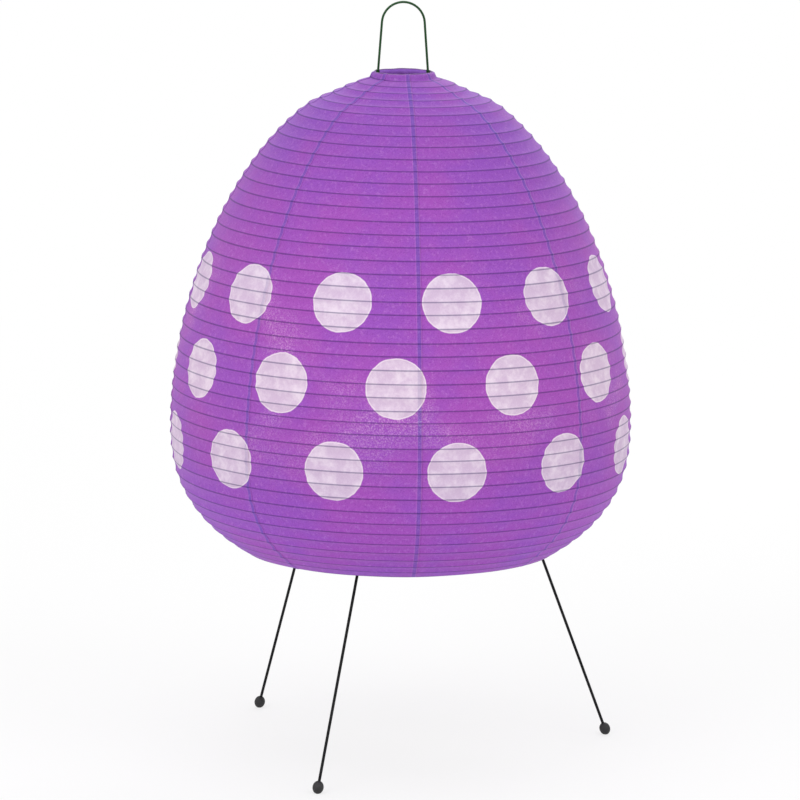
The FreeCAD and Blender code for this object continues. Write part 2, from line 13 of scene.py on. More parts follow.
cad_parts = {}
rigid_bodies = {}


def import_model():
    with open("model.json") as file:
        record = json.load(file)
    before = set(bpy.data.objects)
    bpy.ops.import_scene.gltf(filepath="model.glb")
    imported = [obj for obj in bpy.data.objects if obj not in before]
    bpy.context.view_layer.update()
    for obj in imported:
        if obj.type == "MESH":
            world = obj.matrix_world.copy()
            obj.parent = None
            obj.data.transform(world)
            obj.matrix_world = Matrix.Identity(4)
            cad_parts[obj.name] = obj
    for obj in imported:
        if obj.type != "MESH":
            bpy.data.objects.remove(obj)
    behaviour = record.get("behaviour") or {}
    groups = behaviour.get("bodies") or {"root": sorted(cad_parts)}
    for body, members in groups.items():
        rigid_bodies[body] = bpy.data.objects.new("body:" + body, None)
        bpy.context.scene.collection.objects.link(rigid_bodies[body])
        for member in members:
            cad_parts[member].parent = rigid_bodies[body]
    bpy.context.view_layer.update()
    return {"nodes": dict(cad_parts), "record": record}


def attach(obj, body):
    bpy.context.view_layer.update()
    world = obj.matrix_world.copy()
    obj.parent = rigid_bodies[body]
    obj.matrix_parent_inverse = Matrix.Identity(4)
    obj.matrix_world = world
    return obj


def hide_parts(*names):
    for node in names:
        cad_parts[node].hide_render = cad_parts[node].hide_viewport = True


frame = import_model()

MM = 0.001
LOG = logging.getLogger("paper_lamp")
Colour = Tuple[float, float, float]
Point = Tuple[float, float, float]
Span = Tuple[float, float]
Socket = bpy.types.NodeSocket
Value = Union[float, Socket]
Inputs = Dict[Union[int, str], object]
UNIT_BOW = 4.0  # brings the peak of b * (1 - b) to 1


class Body(Enum):
    """Bodies of the frame that the scene's own pieces ride on."""

    ROOT = "root"


class Slot(Enum):
    """Material slots of the record."""

    PAPER = "paper"
    RIB = "rib"
    HOOP = "hoop_wire"
    STRETCHER = "stretcher"
    FRAME = "frame"
    STEEL = "steel"
    LEG = "leg_wire"
    RUBBER = "rubber"
    HOLDER = "holder_plastic"
    CERAMIC = "ceramic"
    BRASS = "brass"
    CAP = "cap_metal"
    INSULATOR = "insulator"
    GLASS = "glass"


class Graph:
    """A node tree with short calls for the nodes that the lamp's trees use."""

    def __init__(self, tree: bpy.types.NodeTree) -> None:
        """Wrap a shader or geometry node tree."""
        self.tree = tree

    def node(self, kind: str, inputs: Optional[Inputs] = None, **settings: object) -> bpy.types.Node:
        """Add a node.

        Args:
            kind: the node's type name.
            inputs: what its inputs get, by name or number.
            settings: properties to set on it first.

        Returns:
            The new node.
        """
        item = self.tree.nodes.new(kind)
        for name, value in settings.items():
            setattr(item, name, value)
        self.feed(item, inputs or {})
        return item

    def feed(self, item: bpy.types.Node, inputs: Inputs) -> None:
        """Link or set inputs of a node.

        Args:
            item: the node.
            inputs: a socket or a plain value for each input, by name or number.
        """
        for name, value in inputs.items():
            if isinstance(value, bpy.types.NodeSocket):
                self.tree.links.new(value, item.inputs[name])
            else:
                item.inputs[name].default_value = value

    def math(self, operation: str, first: Value, second: Value = 0.0) -> Socket:
        """Add a math node.

        Args:
            operation: the math operation.
            first: first value or socket.
            second: second value or socket, where the operation has one.

        Returns:
            The result's socket.
        """
        return self.node("ShaderNodeMath", {0: first, 1: second}, operation=operation).outputs[0]

    def add(self, first: Value, second: Value) -> Socket:
        """Sum of two values."""
        return self.math("ADD", first, second)

    def subtract(self, first: Value, second: Value) -> Socket:
        """Difference of two values."""
        return self.math("SUBTRACT", first, second)

    def times(self, first: Value, second: Value) -> Socket:
        """Product of two values."""
        return self.math("MULTIPLY", first, second)

    def over(self, first: Value, second: Value) -> Socket:
        """Quotient of two values."""
        return self.math("DIVIDE", first, second)

    def length(self, first: Socket, second: Socket) -> Socket:
        """Length of the diagonal over two sides."""
        squares = self.add(self.times(first, first), self.times(second, second))
        return self.math("SQRT", squares)

    def ramp(self, value: Value, low: float, high: float) -> Socket:
        """Smooth step from 0 at low to 1 at high; a low above high falls instead of rising.

        Args:
            value: the value to step on.
            low: where the step is 0.
            high: where the step is 1.

        Returns:
            The step's socket.
        """
        falling = low > high
        item = self.node("ShaderNodeMapRange", {
            "Value": value,
            "From Min": min(low, high),
            "From Max": max(low, high),
            "To Min": float(falling),
            "To Max": float(not falling),
        }, interpolation_type="SMOOTHSTEP")
        return item.outputs["Result"]

    def vector(self, x: Value, y: Value, z: Value) -> Socket:
        """Join three values into a vector."""
        return self.node("ShaderNodeCombineXYZ", {"X": x, "Y": y, "Z": z}).outputs[0]

    def polar(self, radius: Socket, angle: Socket, height: Socket) -> Socket:
        """Point at a radius, an azimuth and a height."""
        return self.vector(self.times(radius, self.math("COSINE", angle)),
                           self.times(radius, self.math("SINE", angle)), height)

    def split(self, vector: Socket) -> Sequence[Socket]:
        """Part a vector into its three values."""
        return self.node("ShaderNodeSeparateXYZ", {0: vector}).outputs

    def blend(self, share: Value, first: Union[Socket, Colour], second: Union[Socket, Colour],
              mode: str = "MIX") -> Socket:
        """Mix two colours.

        Args:
            share: how much of the second shows.
            first: the colour below.
            second: the colour above.
            mode: how they mix.

        Returns:
            The colour's socket.
        """
        item = self.node("ShaderNodeMix", {"Factor": share}, data_type="RGBA", blend_type=mode)
        places = [place for place, socket in enumerate(item.inputs) if socket.type == "RGBA"]
        for place, colour in zip(places, (first, second)):
            linked = isinstance(colour, bpy.types.NodeSocket)
            self.feed(item, {place: colour if linked else (*colour, 1.0)})
        return [socket for socket in item.outputs if socket.type == "RGBA"][0]

    def tint(self, share: Value, colour: Socket, by: Colour) -> Socket:
        """Multiply a colour by another, by a share."""
        return self.blend(share, colour, by, "MULTIPLY")

    def attribute(self, name: str) -> Socket:
        """Value of a named attribute of the piece."""
        return self.node("ShaderNodeAttribute", attribute_name=name).outputs["Fac"]

    def objects(self, scale: Point = (1.0, 1.0, 1.0)) -> Socket:
        """Object coordinates, stretched by a scale."""
        place = self.node("ShaderNodeTexCoord").outputs["Object"]
        return self.node("ShaderNodeMapping", {"Vector": place, "Scale": scale}).outputs[0]

    def relief(self, shader: bpy.types.Node, height: Socket, strength: float, depth: float) -> None:
        """Give a shader a fine relief, as deep as given where its height is 1."""
        bump = self.node("ShaderNodeBump", {"Strength": strength, "Distance": depth, "Height": height})
        self.feed(shader, {"Normal": bump.outputs[0]})


def new_material(name: str) -> Tuple[bpy.types.Material, Graph, bpy.types.Node]:
    """Start a material with a bare Principled shader.

    Args:
        name: the material's name.

    Returns:
        The material, its graph and its shader node.
    """
    material = bpy.data.materials.new(name)
    material.use_nodes = True
    return material, Graph(material.node_tree), material.node_tree.nodes["Principled BSDF"]


@dataclass(frozen=True)
class Mottle:
    """Fractal noise, and the span of it that shows as a mask of a given share."""

    scale: float
    detail: float = 4.0
    roughness: float = 0.55
    span: Span = (0.0, 1.0)
    share: float = 1.0

    def noise(self, graph: Graph, place: Socket) -> Socket:
        """Add the noise.

        Args:
            graph: the material's graph.
            place: the coordinates that it follows.

        Returns:
            The noise's socket.
        """
        return graph.node("ShaderNodeTexNoise", {
            "Vector": place,
            "Scale": self.scale,
            "Detail": self.detail,
            "Roughness": self.roughness,
        }).outputs[0]

    def mask(self, graph: Graph, noise: Socket) -> Socket:
        """Where the noise lies in the span, times the share."""
        return graph.times(graph.ramp(noise, *self.span), self.share)


@dataclass(frozen=True)
class Finish:
    """A solid finish: a colour with cloudy variation, uneven gloss and a fine relief."""

    name: str
    colour: Colour
    worn: Colour
    roughness: float
    metallic: float = 0.0
    grain: float = 400.0
    stretch: Point = (1.0, 1.0, 1.0)
    relief: float = 0.05
    relief_depth: float = 0.2 * MM
    uneven: float = 0.12
    coat: float = 0.0
    gloss: float = 0.5
    emission: float = 0.0
    cloud_size: float = 8.0
    cloud_detail: float = 3.0
    cloud_span: Span = (0.42, 0.72)
    grain_detail: float = 5.0
    grain_roughness: float = 0.65

    def build(self) -> bpy.types.Material:
        """Build the material.

        Returns:
            The finished material.
        """
        material, graph, shader = new_material(self.name)
        place = graph.objects(self.stretch)
        clouds = Mottle(self.grain / self.cloud_size, self.cloud_detail, span=self.cloud_span)
        fine = Mottle(self.grain, self.grain_detail, self.grain_roughness).noise(graph, place)
        worn = clouds.mask(graph, clouds.noise(graph, place))
        colour = graph.blend(worn, self.colour, self.worn)
        swing = graph.times(graph.subtract(fine, 0.5), self.uneven * 2.0)
        graph.feed(shader, {
            "Base Color": colour,
            "Roughness": graph.add(swing, self.roughness),
            "Metallic": self.metallic,
            "Coat Weight": self.coat,
            "Specular IOR Level": self.gloss,
        })
        graph.relief(shader, fine, self.relief, self.relief_depth)
        if self.emission:
            graph.feed(shader, {"Emission Color": colour, "Emission Strength": self.emission})
        return material


DRAWN = (1.0, 1.0, 0.1)  # stretch of the grain along the length of drawn metal
BAMBOO = Finish("split_bamboo", (0.42, 0.28, 0.13), (0.52, 0.37, 0.19), 0.55, grain=700.0)
EDGE_CORD = Finish("edge_cord", (0.190, 0.105, 0.270), (0.260, 0.160, 0.350), 0.8, grain=900.0,
                   relief=0.3)
# The turned-in strip glows: painted light of the bulb through the paper, though the strip is no lamp
GLOWING_EDGE_STRIP = Finish("glowing_edge_strip", (0.215, 0.075, 0.430), (0.270, 0.110, 0.500), 0.8, emission=0.2)


@dataclass(frozen=True)
class SpotRow:
    """One row of round pale spots round the shade."""

    arc: float
    count: int
    offset: float
    radius: float = 30 * MM


@dataclass(frozen=True)
class PaperFinish:
    """Hand-made paper, painted but for its bare round spots, with fibres and doubled seams, painted rib
    shadows, painted highlights on the lap edges, and painted light from the bulb and on the crown and
    underside.
    """

    name: str = "painted_paper"
    # Colours, and tints that multiply them
    paint: Colour = (0.316, 0.067, 0.436)
    paint_cool: Colour = (0.264, 0.067, 0.462)
    paint_deep: Colour = (0.205, 0.040, 0.335)
    paint_fibre: Colour = (0.418, 0.155, 0.555)
    bare: Colour = (0.530, 0.405, 0.610)
    bare_fibre: Colour = (0.670, 0.575, 0.745)
    spot_edge: Colour = (0.760, 0.680, 0.800)
    # Pale pink flecks: painted light of the bulb showing through the paint
    painted_light_speckle: Colour = (0.820, 0.560, 0.800)
    # Painted light on the underside: lighter and bluer towards the bottom rim, as lit from the floor
    painted_under_light: Colour = (1.04, 1.06, 1.13)
    # Painted light on the crown: less red towards the top, as lit from above
    painted_crown_light: Colour = (0.91, 1.01, 0.99)
    paint_seam: Colour = (0.66, 0.93, 0.91)
    bare_seam: Colour = (0.82, 0.82, 0.88)
    # Painted shadow of the rib behind the paper
    rib_shadow_tint: Colour = (0.40, 0.42, 0.49)
    # Texture of paint and paper
    clouds: Mottle = Mottle(9.0, roughness=0.6, span=(0.38, 0.64))
    felt: Mottle = Mottle(260.0, 6.0, 0.75, (0.48, 0.74), 0.7)
    grain: Mottle = Mottle(800.0, roughness=0.7, span=(0.52, 0.34), share=0.7)
    # Patches and flecks: painted light of the bulb, shown only where its glow is strong
    painted_light_patches: Mottle = Mottle(11.0, 2.0, span=(0.50, 0.68))
    painted_light_flecks: Mottle = Mottle(640.0, roughness=0.7, span=(0.46, 0.66), share=0.36)
    bare_clouds: Mottle = Mottle(60.0, 6.0, 0.7, (0.40, 0.70))
    bare_grain: Mottle = Mottle(800.0, roughness=0.7, span=(0.50, 0.72), share=0.5)
    fleck_glow: Span = (0.65, 1.0)
    felt_height: float = 0.7
    grain_height: float = 0.3
    relief: float = 0.35
    relief_depth: float = 0.4 * MM
    # Zones along the paper, as arc lengths from the bottom rim
    painted_under_light_arcs: Span = (0.170, 0.050)
    painted_crown_light_arcs: Span = (0.400, 0.540)
    collar_arcs: Span = (0.600, 0.604)
    collar_share: float = 0.2
    # Zones across a lap, which runs from 0 to 1
    seam_span: Span = (0.10, 0.22)
    # Lighter lines along a lap's edges: the paper's edge, with a painted highlight
    edge_highlight_span: Span = (0.0, 0.06)
    edge_highlight_share: float = 0.35
    # Painted rib shadows, and the spots' edges
    rib_pitch: float = 13.8 * MM
    rib_shadow_width: float = 1.05 * MM
    rib_shadow_core: float = 0.35
    rib_shadow_share: float = 0.9
    wobble: Mottle = Mottle(90.0, 3.0)
    wobble_size: float = 2.4 * MM
    edge_softness: float = 0.5 * MM
    edge_width: float = 0.9 * MM
    edge_core: float = 0.3
    edge_share: float = 0.7
    rows: Tuple[SpotRow, ...] = (
        SpotRow(0.150, 12, 0.20),
        SpotRow(0.235, 12, 0.70),
        SpotRow(0.320, 12, 0.20),
    )
    # Light from inside, and gloss
    glow_height: float = 0.430
    glow_reach: float = 0.18
    glow: float = 0.24
    glow_tint: Colour = (1.00, 0.90, 0.40)
    roughness: float = 0.78
    gloss: float = 0.25
    sheen: float = 0.15
    sheen_roughness: float = 0.5
    sheen_tint: Colour = (0.80, 0.75, 1.00)

    def spots(self, graph: Graph, arc: Socket) -> Socket:
        """Distance outside the nearest round spot, along the paper.

        Args:
            graph: the material's graph.
            arc: arc length from the bottom rim.

        Returns:
            A socket in metres, below zero inside a spot.
        """
        turn = graph.attribute("turn")
        reach = graph.attribute("reach")
        nearest: Value = 1.0
        for row in self.rows:
            cell = graph.math("FRACT", graph.add(graph.times(turn, float(row.count)), row.offset))
            angle = graph.times(graph.subtract(cell, 0.5), math.tau / row.count)
            far = graph.length(graph.times(angle, reach), graph.subtract(arc, row.arc))
            nearest = graph.math("MINIMUM", nearest, graph.subtract(far, row.radius))
        return nearest

    def lap_zones(self, graph: Graph) -> Tuple[Socket, Socket]:
        """Where the paper is doubled at a seam, and the lighter lines along its edges: the paper's edge
        with a painted highlight.

        Args:
            graph: the material's graph.

        Returns:
            The masks of the doubled paper and of its lighter edges.
        """
        lap = graph.attribute("lap")
        ends = [tuple(1.0 - share for share in span) for span in (self.seam_span, self.edge_highlight_span)]
        seam = graph.times(graph.ramp(lap, *self.seam_span), graph.ramp(lap, *ends[0]))
        inside = graph.subtract(graph.ramp(lap, *self.edge_highlight_span), seam)
        return seam, graph.times(inside, graph.ramp(lap, *ends[1]))

    def light(self, graph: Graph, place: Socket) -> Socket:
        """Share of the bulb's light at a place, from 0 to 1 at the bulb's height."""
        up = graph.over(graph.subtract(graph.split(place)[2], self.glow_height), self.glow_reach)
        return graph.over(1.0, graph.add(1.0, graph.times(up, up)))

    def colour(self, graph: Graph, place: Socket, felt: Socket, grain: Socket, glow: Socket) -> Socket:
        """Colour of the paper, painted and bare, with its seams, spots, painted rib shadows, painted edge
        highlights and painted light.

        Args:
            graph: the material's graph.
            place: object coordinates.
            felt: noise of the matted fibres.
            grain: noise of the finest grain.
            glow: share of the bulb's light.

        Returns:
            The colour's socket.
        """
        arc = graph.attribute("arc")
        seam, edge_highlight = self.lap_zones(graph)
        cool = self.clouds.mask(graph, self.clouds.noise(graph, place))
        paint = graph.blend(cool, self.paint, self.paint_cool)
        paint = graph.blend(self.felt.mask(graph, felt), paint, self.paint_fibre)
        paint = graph.blend(self.grain.mask(graph, grain), paint, self.paint_deep)
        # Painted light: pale flecks in patches where the bulb's glow is strong
        painted_light_patches = self.painted_light_patches.mask(graph, self.painted_light_patches.noise(graph, place))
        lit = graph.times(painted_light_patches, graph.ramp(glow, *self.fleck_glow))
        painted_light_flecks = self.painted_light_flecks.mask(graph, self.painted_light_flecks.noise(graph, place))
        paint = graph.blend(graph.times(painted_light_flecks, lit), paint, self.painted_light_speckle)
        # Painted light: lighter and bluer towards the bottom rim
        paint = graph.tint(graph.ramp(arc, *self.painted_under_light_arcs), paint, self.painted_under_light)
        # Painted light: the crown less red, as lit from above
        paint = graph.tint(graph.ramp(arc, *self.painted_crown_light_arcs), paint, self.painted_crown_light)
        collar = graph.times(graph.ramp(arc, *self.collar_arcs), self.collar_share)
        paint = graph.tint(graph.math("MAXIMUM", seam, collar), paint, self.paint_seam)
        # Lighter lines along the lap's edges: the paper's edge, with a painted highlight
        paint = graph.blend(graph.times(edge_highlight, self.edge_highlight_share), paint, self.paint_fibre)

        pale = self.bare_clouds.mask(graph, self.bare_clouds.noise(graph, place))
        bare = graph.blend(pale, self.bare, self.bare_fibre)
        bare = graph.blend(self.bare_grain.mask(graph, grain), bare, self.bare_fibre)
        bare = graph.tint(seam, bare, self.bare_seam)

        sway = graph.subtract(self.wobble.noise(graph, place), 0.5)
        rim = graph.add(self.spots(graph, arc), graph.times(sway, self.wobble_size))
        inside = graph.ramp(rim, self.edge_softness, -self.edge_softness)
        colour = graph.blend(inside, paint, bare)
        ring = graph.ramp(graph.math("ABSOLUTE", rim), self.edge_width, self.edge_width * self.edge_core)
        colour = graph.blend(graph.times(ring, self.edge_share), colour, self.spot_edge)

        # Painted shadow: a dark line along each rib, where the rib behind the paper and its crease shade
        # it
        phase = graph.math("FRACT", graph.add(graph.attribute("rib_phase"), 0.5))
        off = graph.times(graph.math("ABSOLUTE", graph.subtract(phase, 0.5)), self.rib_pitch)
        line = graph.ramp(off, self.rib_shadow_width, self.rib_shadow_width * self.rib_shadow_core)
        return graph.tint(graph.times(line, self.rib_shadow_share), colour, self.rib_shadow_tint)

    def build(self) -> bpy.types.Material:
        """Build the material.

        Returns:
            The finished material.
        """
        material, graph, shader = new_material(self.name)
        place = graph.objects()
        felt = self.felt.noise(graph, place)
        grain = self.grain.noise(graph, place)
        glow = self.light(graph, place)
        colour = self.colour(graph, place, felt, grain, glow)
        warm = graph.tint(1.0, colour, self.glow_tint)
        graph.feed(shader, {
            "Base Color": colour,
            "Emission Color": graph.blend(graph.times(glow, self.glow), (0.0, 0.0, 0.0), warm),
            "Emission Strength": 1.0,
            "Roughness": self.roughness,
            "Specular IOR Level": self.gloss,
            "Sheen Weight": self.sheen,
            "Sheen Roughness": self.sheen_roughness,
            "Sheen Tint": (*self.sheen_tint, 1.0),
        })
        height = graph.add(graph.times(felt, self.felt_height), graph.times(grain, self.grain_height))
        graph.relief(shader, height, self.relief, self.relief_depth)
        return material


def new_piece(name: str) -> bpy.types.Object:
    """Link an empty mesh object at the origin.

    Args:
        name: the piece's name.

    Returns:
        The object.
    """
    piece = bpy.data.objects.new(name, bpy.data.meshes.new(name))
    bpy.context.scene.collection.objects.link(piece)
    return piece


def bake_down(piece: bpy.types.Object) -> None:
    """Turn a piece's modifiers into its plain mesh.

    Args:
        piece: the object to bake.
    """
    bpy.context.view_layer.update()
    depsgraph = bpy.context.evaluated_depsgraph_get()
    mesh = bpy.data.meshes.new_from_object(piece.evaluated_get(depsgraph))
    piece.modifiers.clear()
    piece.data = mesh
    mesh.name = piece.name


def hand_over(piece: bpy.types.Object, replaced: Optional[str] = None) -> None:
    """Tie a finished piece to the root, and report it.

    Args:
        piece: the piece, as a plain mesh.
        replaced: the CAD node that it stands in for, if any.
    """
    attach(piece, Body.ROOT.value)
    if replaced:
        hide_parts(replaced)
    LOG.info("%s: %d faces", piece.name, len(piece.data.polygons))


class PieceTree(Graph):
    """A geometry tree with named inputs, one of them a material, that makes a plain mesh."""

    def __init__(self, name: str, sizes: Dict[str, float], places: Sequence[str] = ()) -> None:
        """Start the tree.

        Args:
            name: the tree's name.
            sizes: the default of each size, by its input's name.
            places: names of inputs that are points.
        """
        super().__init__(bpy.data.node_groups.new(name, "GeometryNodeTree"))
        self.identifiers: Dict[str, str] = {}
        for label, default in sizes.items():
            self.take(label, "NodeSocketFloat").default_value = default
        for label in places:
            self.take(label, "NodeSocketVector")
        self.take("Material", "NodeSocketMaterial")
        face = self.tree.interface
        face.new_socket("Geometry", in_out="OUTPUT", socket_type="NodeSocketGeometry")
        self.given = self.node("NodeGroupInput").outputs

    def take(self, label: str, kind: str) -> bpy.types.NodeTreeInterfaceSocket:
        """Add an input and keep its identifier.

        Args:
            label: the input's name.
            kind: its socket type.

        Returns:
            The input.
        """
        socket = self.tree.interface.new_socket(label, in_out="INPUT", socket_type=kind)
        self.identifiers[label] = socket.identifier
        return socket

    def path(self, count: int) -> Socket:
        """A straight line with a number of points, to be bent by moving them."""
        line = self.node("GeometryNodeCurvePrimitiveLine").outputs[0]
        return self.node("GeometryNodeResampleCurve", {"Curve": line, "Count": count}).outputs[0]

    def along(self) -> Socket:
        """Share of the way along a path."""
        return self.node("GeometryNodeSplineParameter").outputs["Factor"]

    def move(self, geometry: Socket, position: Socket) -> Socket:
        """Put every point at a position."""
        placed = self.node("GeometryNodeSetPosition", {"Geometry": geometry, "Position": position})
        return placed.outputs[0]

    def tube(self, curve: Socket, radius: Value, sides: int) -> Socket:
        """Sweep a round section along a curve.

        Args:
            curve: the middle line.
            radius: the section's radius.
            sides: its number of sides.

        Returns:
            The tube's mesh, with closed ends.
        """
        section = self.node("GeometryNodeCurvePrimitiveCircle", {"Resolution": sides, "Radius": radius})
        return self.node("GeometryNodeCurveToMesh", {
            "Curve": curve,
            "Profile Curve": section.outputs[0],
            "Fill Caps": True,
        }).outputs[0]

    def close(self, geometry: Socket) -> None:
        """End the tree in Realize Instances and Set Material.

        Args:
            geometry: what the tree has made.
        """
        real = self.node("GeometryNodeRealizeInstances", {0: geometry})
        dressed = self.node("GeometryNodeSetMaterial", {
            "Geometry": real.outputs[0],
            "Material": self.given["Material"],
        })
        self.node("NodeGroupOutput", {0: dressed.outputs[0]})

    def make(self, name: str, values: Dict[str, object]) -> bpy.types.Object:
        """Make one piece as a plain mesh.

        Args:
            name: the piece's name.
            values: inputs that aren't left at their defaults, by name.

        Returns:
            The piece.
        """
        piece = new_piece(name)
        modifier = piece.modifiers.new(self.tree.name, "NODES")
        modifier.node_group = self.tree
        for label, value in values.items():
            modifier[self.identifiers[label]] = value
        bake_down(piece)
        return piece


@dataclass
class ShadeOutline:
    """The shade's meridian: two half super-ellipses that meet at the belly, and a short collar."""

    shade_radius: float = 240 * MM
    top_rim_radius: float = 29.7 * MM
    bottom_rim_radius: float = 163 * MM
    crown_height: float = 363 * MM
    under_depth: float = 134 * MM
    crown_power: float = 1.8
    under_power: float = 2.5
    rim_height: float = 214 * MM
    rib_pitch: float = 13.8 * MM
    rib_margin: float = 4.7 * MM
    rib_turns: int = 43
    belly_turns: Span = (9.5, 18.0)
    belly_closing: float = 7.4 * MM
    crown_turns: Span = (30.0, 42.0)
    crown_opening: float = 3.5 * MM
    unevenness: float = 0.3 * MM
    waves: Tuple[Span, ...] = ((2.3, 1.1), (1.45, 0.4))
    shoulder_drop: float = 5.0 * MM
    shoulder_radii: Span = (105 * MM, 68 * MM)
    collar_radii: Span = (31.8 * MM, 35.2 * MM)
    seam_azimuth: float = math.radians(94.8)
    samples: int = 900

    @property
    def top_height(self) -> float:
        """Height of the paper's top edge."""
        return self.rim_height + self.crown_height + self.under_depth

    def pole(self, reach: float, rim: float, power: float) -> float:
        """Height at which a half's outline would close on the axis."""
        return reach / (1 - (rim / self.shade_radius) ** 2) ** (1 / power)

    def curve(self, graph: PieceTree) -> Socket:
        """Add the meridian to a tree, as a curve in the XZ plane from rim to rim.

        Args:
            graph: the tree.

        Returns:
            The curve's socket.
        """
        left = graph.subtract(1.0, graph.along())
        factor = graph.subtract(1.0, graph.times(left, left))
        height = graph.times(factor, self.crown_height + self.under_depth)
        rise = graph.subtract(height, self.under_depth)
        crown_pole = self.pole(self.crown_height, self.top_rim_radius, self.crown_power)
        under_pole = self.pole(self.under_depth, self.bottom_rim_radius, self.under_power)
        above = graph.over(graph.math("MAXIMUM", rise, 0.0), crown_pole)
        below = graph.over(graph.math("MAXIMUM", graph.times(rise, -1.0), 0.0), under_pole)
        crown = graph.math("POWER", above, self.crown_power)
        under = graph.math("POWER", below, self.under_power)
        share = graph.subtract(graph.subtract(1.0, crown), under)
        radius = graph.times(graph.math("SQRT", share), self.shade_radius)
        shoulder = graph.times(graph.ramp(radius, *self.shoulder_radii),
                               graph.ramp(radius, *self.collar_radii))
        drop = graph.times(graph.times(shoulder, self.shoulder_drop),
                           graph.math("GREATER_THAN", rise, 0.0))
        level = graph.add(graph.subtract(height, drop), self.rim_height)
        return graph.move(graph.path(self.samples), graph.vector(radius, 0.0, level))

    def wound(self, graph: Graph, turns: Socket) -> Socket:
        """Arc length of the rib: closer round the belly, wider at the crown, uneven by hand.

        Args:
            graph: the tree.
            turns: turns from the rib's lower end.

        Returns:
            The arc length from the bottom rim.
        """
        arc = graph.add(graph.times(turns, self.rib_pitch), self.rib_margin)
        closing = graph.times(graph.ramp(turns, *self.belly_turns), self.belly_closing)
        opening = graph.times(graph.ramp(turns, *self.crown_turns), self.crown_opening)
        arc = graph.add(graph.subtract(arc, closing), opening)
        for rate, start in self.waves:
            wave = graph.math("SINE", graph.add(graph.times(turns, rate), start))
            arc = graph.add(arc, graph.times(wave, self.unevenness))
        return arc

    def sample(self, graph: Graph, curve: Socket, arc: Socket, depth: Value) -> Tuple[Socket, Socket]:
        """Radius and height at an arc length, a depth inside the paper's face.

        Args:
            graph: the tree.
            curve: the meridian.
            arc: arc length from the bottom rim.
            depth: how far inside the face.

        Returns:
            The radius and the height.
        """
        probe = graph.node("GeometryNodeSampleCurve", {"Curves": curve, "Length": arc}, mode="LENGTH")
        spot = graph.split(probe.outputs["Position"])
        along = graph.split(probe.outputs["Tangent"])
        radius = graph.subtract(spot[0], graph.times(along[2], depth))
        height = graph.add(spot[2], graph.times(along[0], depth))
        return radius, height


